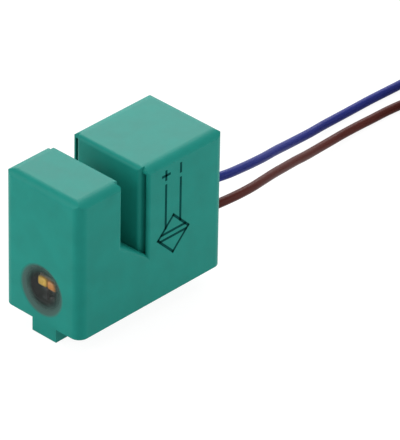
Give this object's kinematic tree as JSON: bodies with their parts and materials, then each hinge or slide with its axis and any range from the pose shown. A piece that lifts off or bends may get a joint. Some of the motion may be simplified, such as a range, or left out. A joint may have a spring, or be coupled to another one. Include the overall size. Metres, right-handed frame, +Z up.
{
  "type": "fork sensor",
  "caption": "U-shaped fork sensor: a narrow slot between rounded arms senses metal that passes through; round status window, base with locating lug and thread, coloured flying leads.",
  "frame": {"origin": "middle of the base, at the mouth of the fixing thread", "axes": "+X from the window face to the lead face, +Y across the arms, +Z up the arms"},
  "size_m": [0.1062, 0.0223, 0.0213],
  "materials": {
    "housing_green": "satin moulded thermoplastic, teal green",
    "brass": "turned",
    "clear_resin": "cast clear resin, hazy at its border",
    "potting_resin": "cast dark resin",
    "ferrite": "sintered",
    "former_plastic": "moulded",
    "copper": "enamelled copper wire",
    "board_film": "flexible board with a dark cover film",
    "lamp": "tinted lamp resin",
    "chip_black": "moulded",
    "chip_ceramic": "fired ceramic",
    "tinned_wire": "tinned copper strands",
    "solder": "bright solder",
    "blue_insulation": "satin soft plastic",
    "brown_insulation": "satin soft plastic",
    "tie_plastic": "natural nylon"
  },
  "bodies": {
    "root": {"housing": "housing_green", "base_cover": "housing_green", "threaded_insert": "brass", "window_lens": "clear_resin", "potting": "potting_resin", "front_core": "ferrite", "rear_core": "ferrite", "front_former": "former_plastic", "rear_former": "former_plastic", "front_winding": "copper", "rear_winding": "copper", "front_coil_wires": "copper", "rear_coil_wires": "copper", "circuit_board": "board_film", "status_led": "lamp", "oscillator_chip": "chip_black", "output_transistor": "chip_black", "protection_diode": "chip_black", "capacitors": "chip_ceramic", "resistors": "chip_black", "lead_conductors": "tinned_wire", "solder_joints": "solder", "blue_lead": "blue_insulation", "brown_lead": "brown_insulation", "blue_coil": "blue_insulation", "brown_coil": "brown_insulation", "blue_tie": "tie_plastic", "brown_tie": "tie_plastic", "blue_strands": "tinned_wire", "brown_strands": "tinned_wire"}
  },
  "joints": []
}
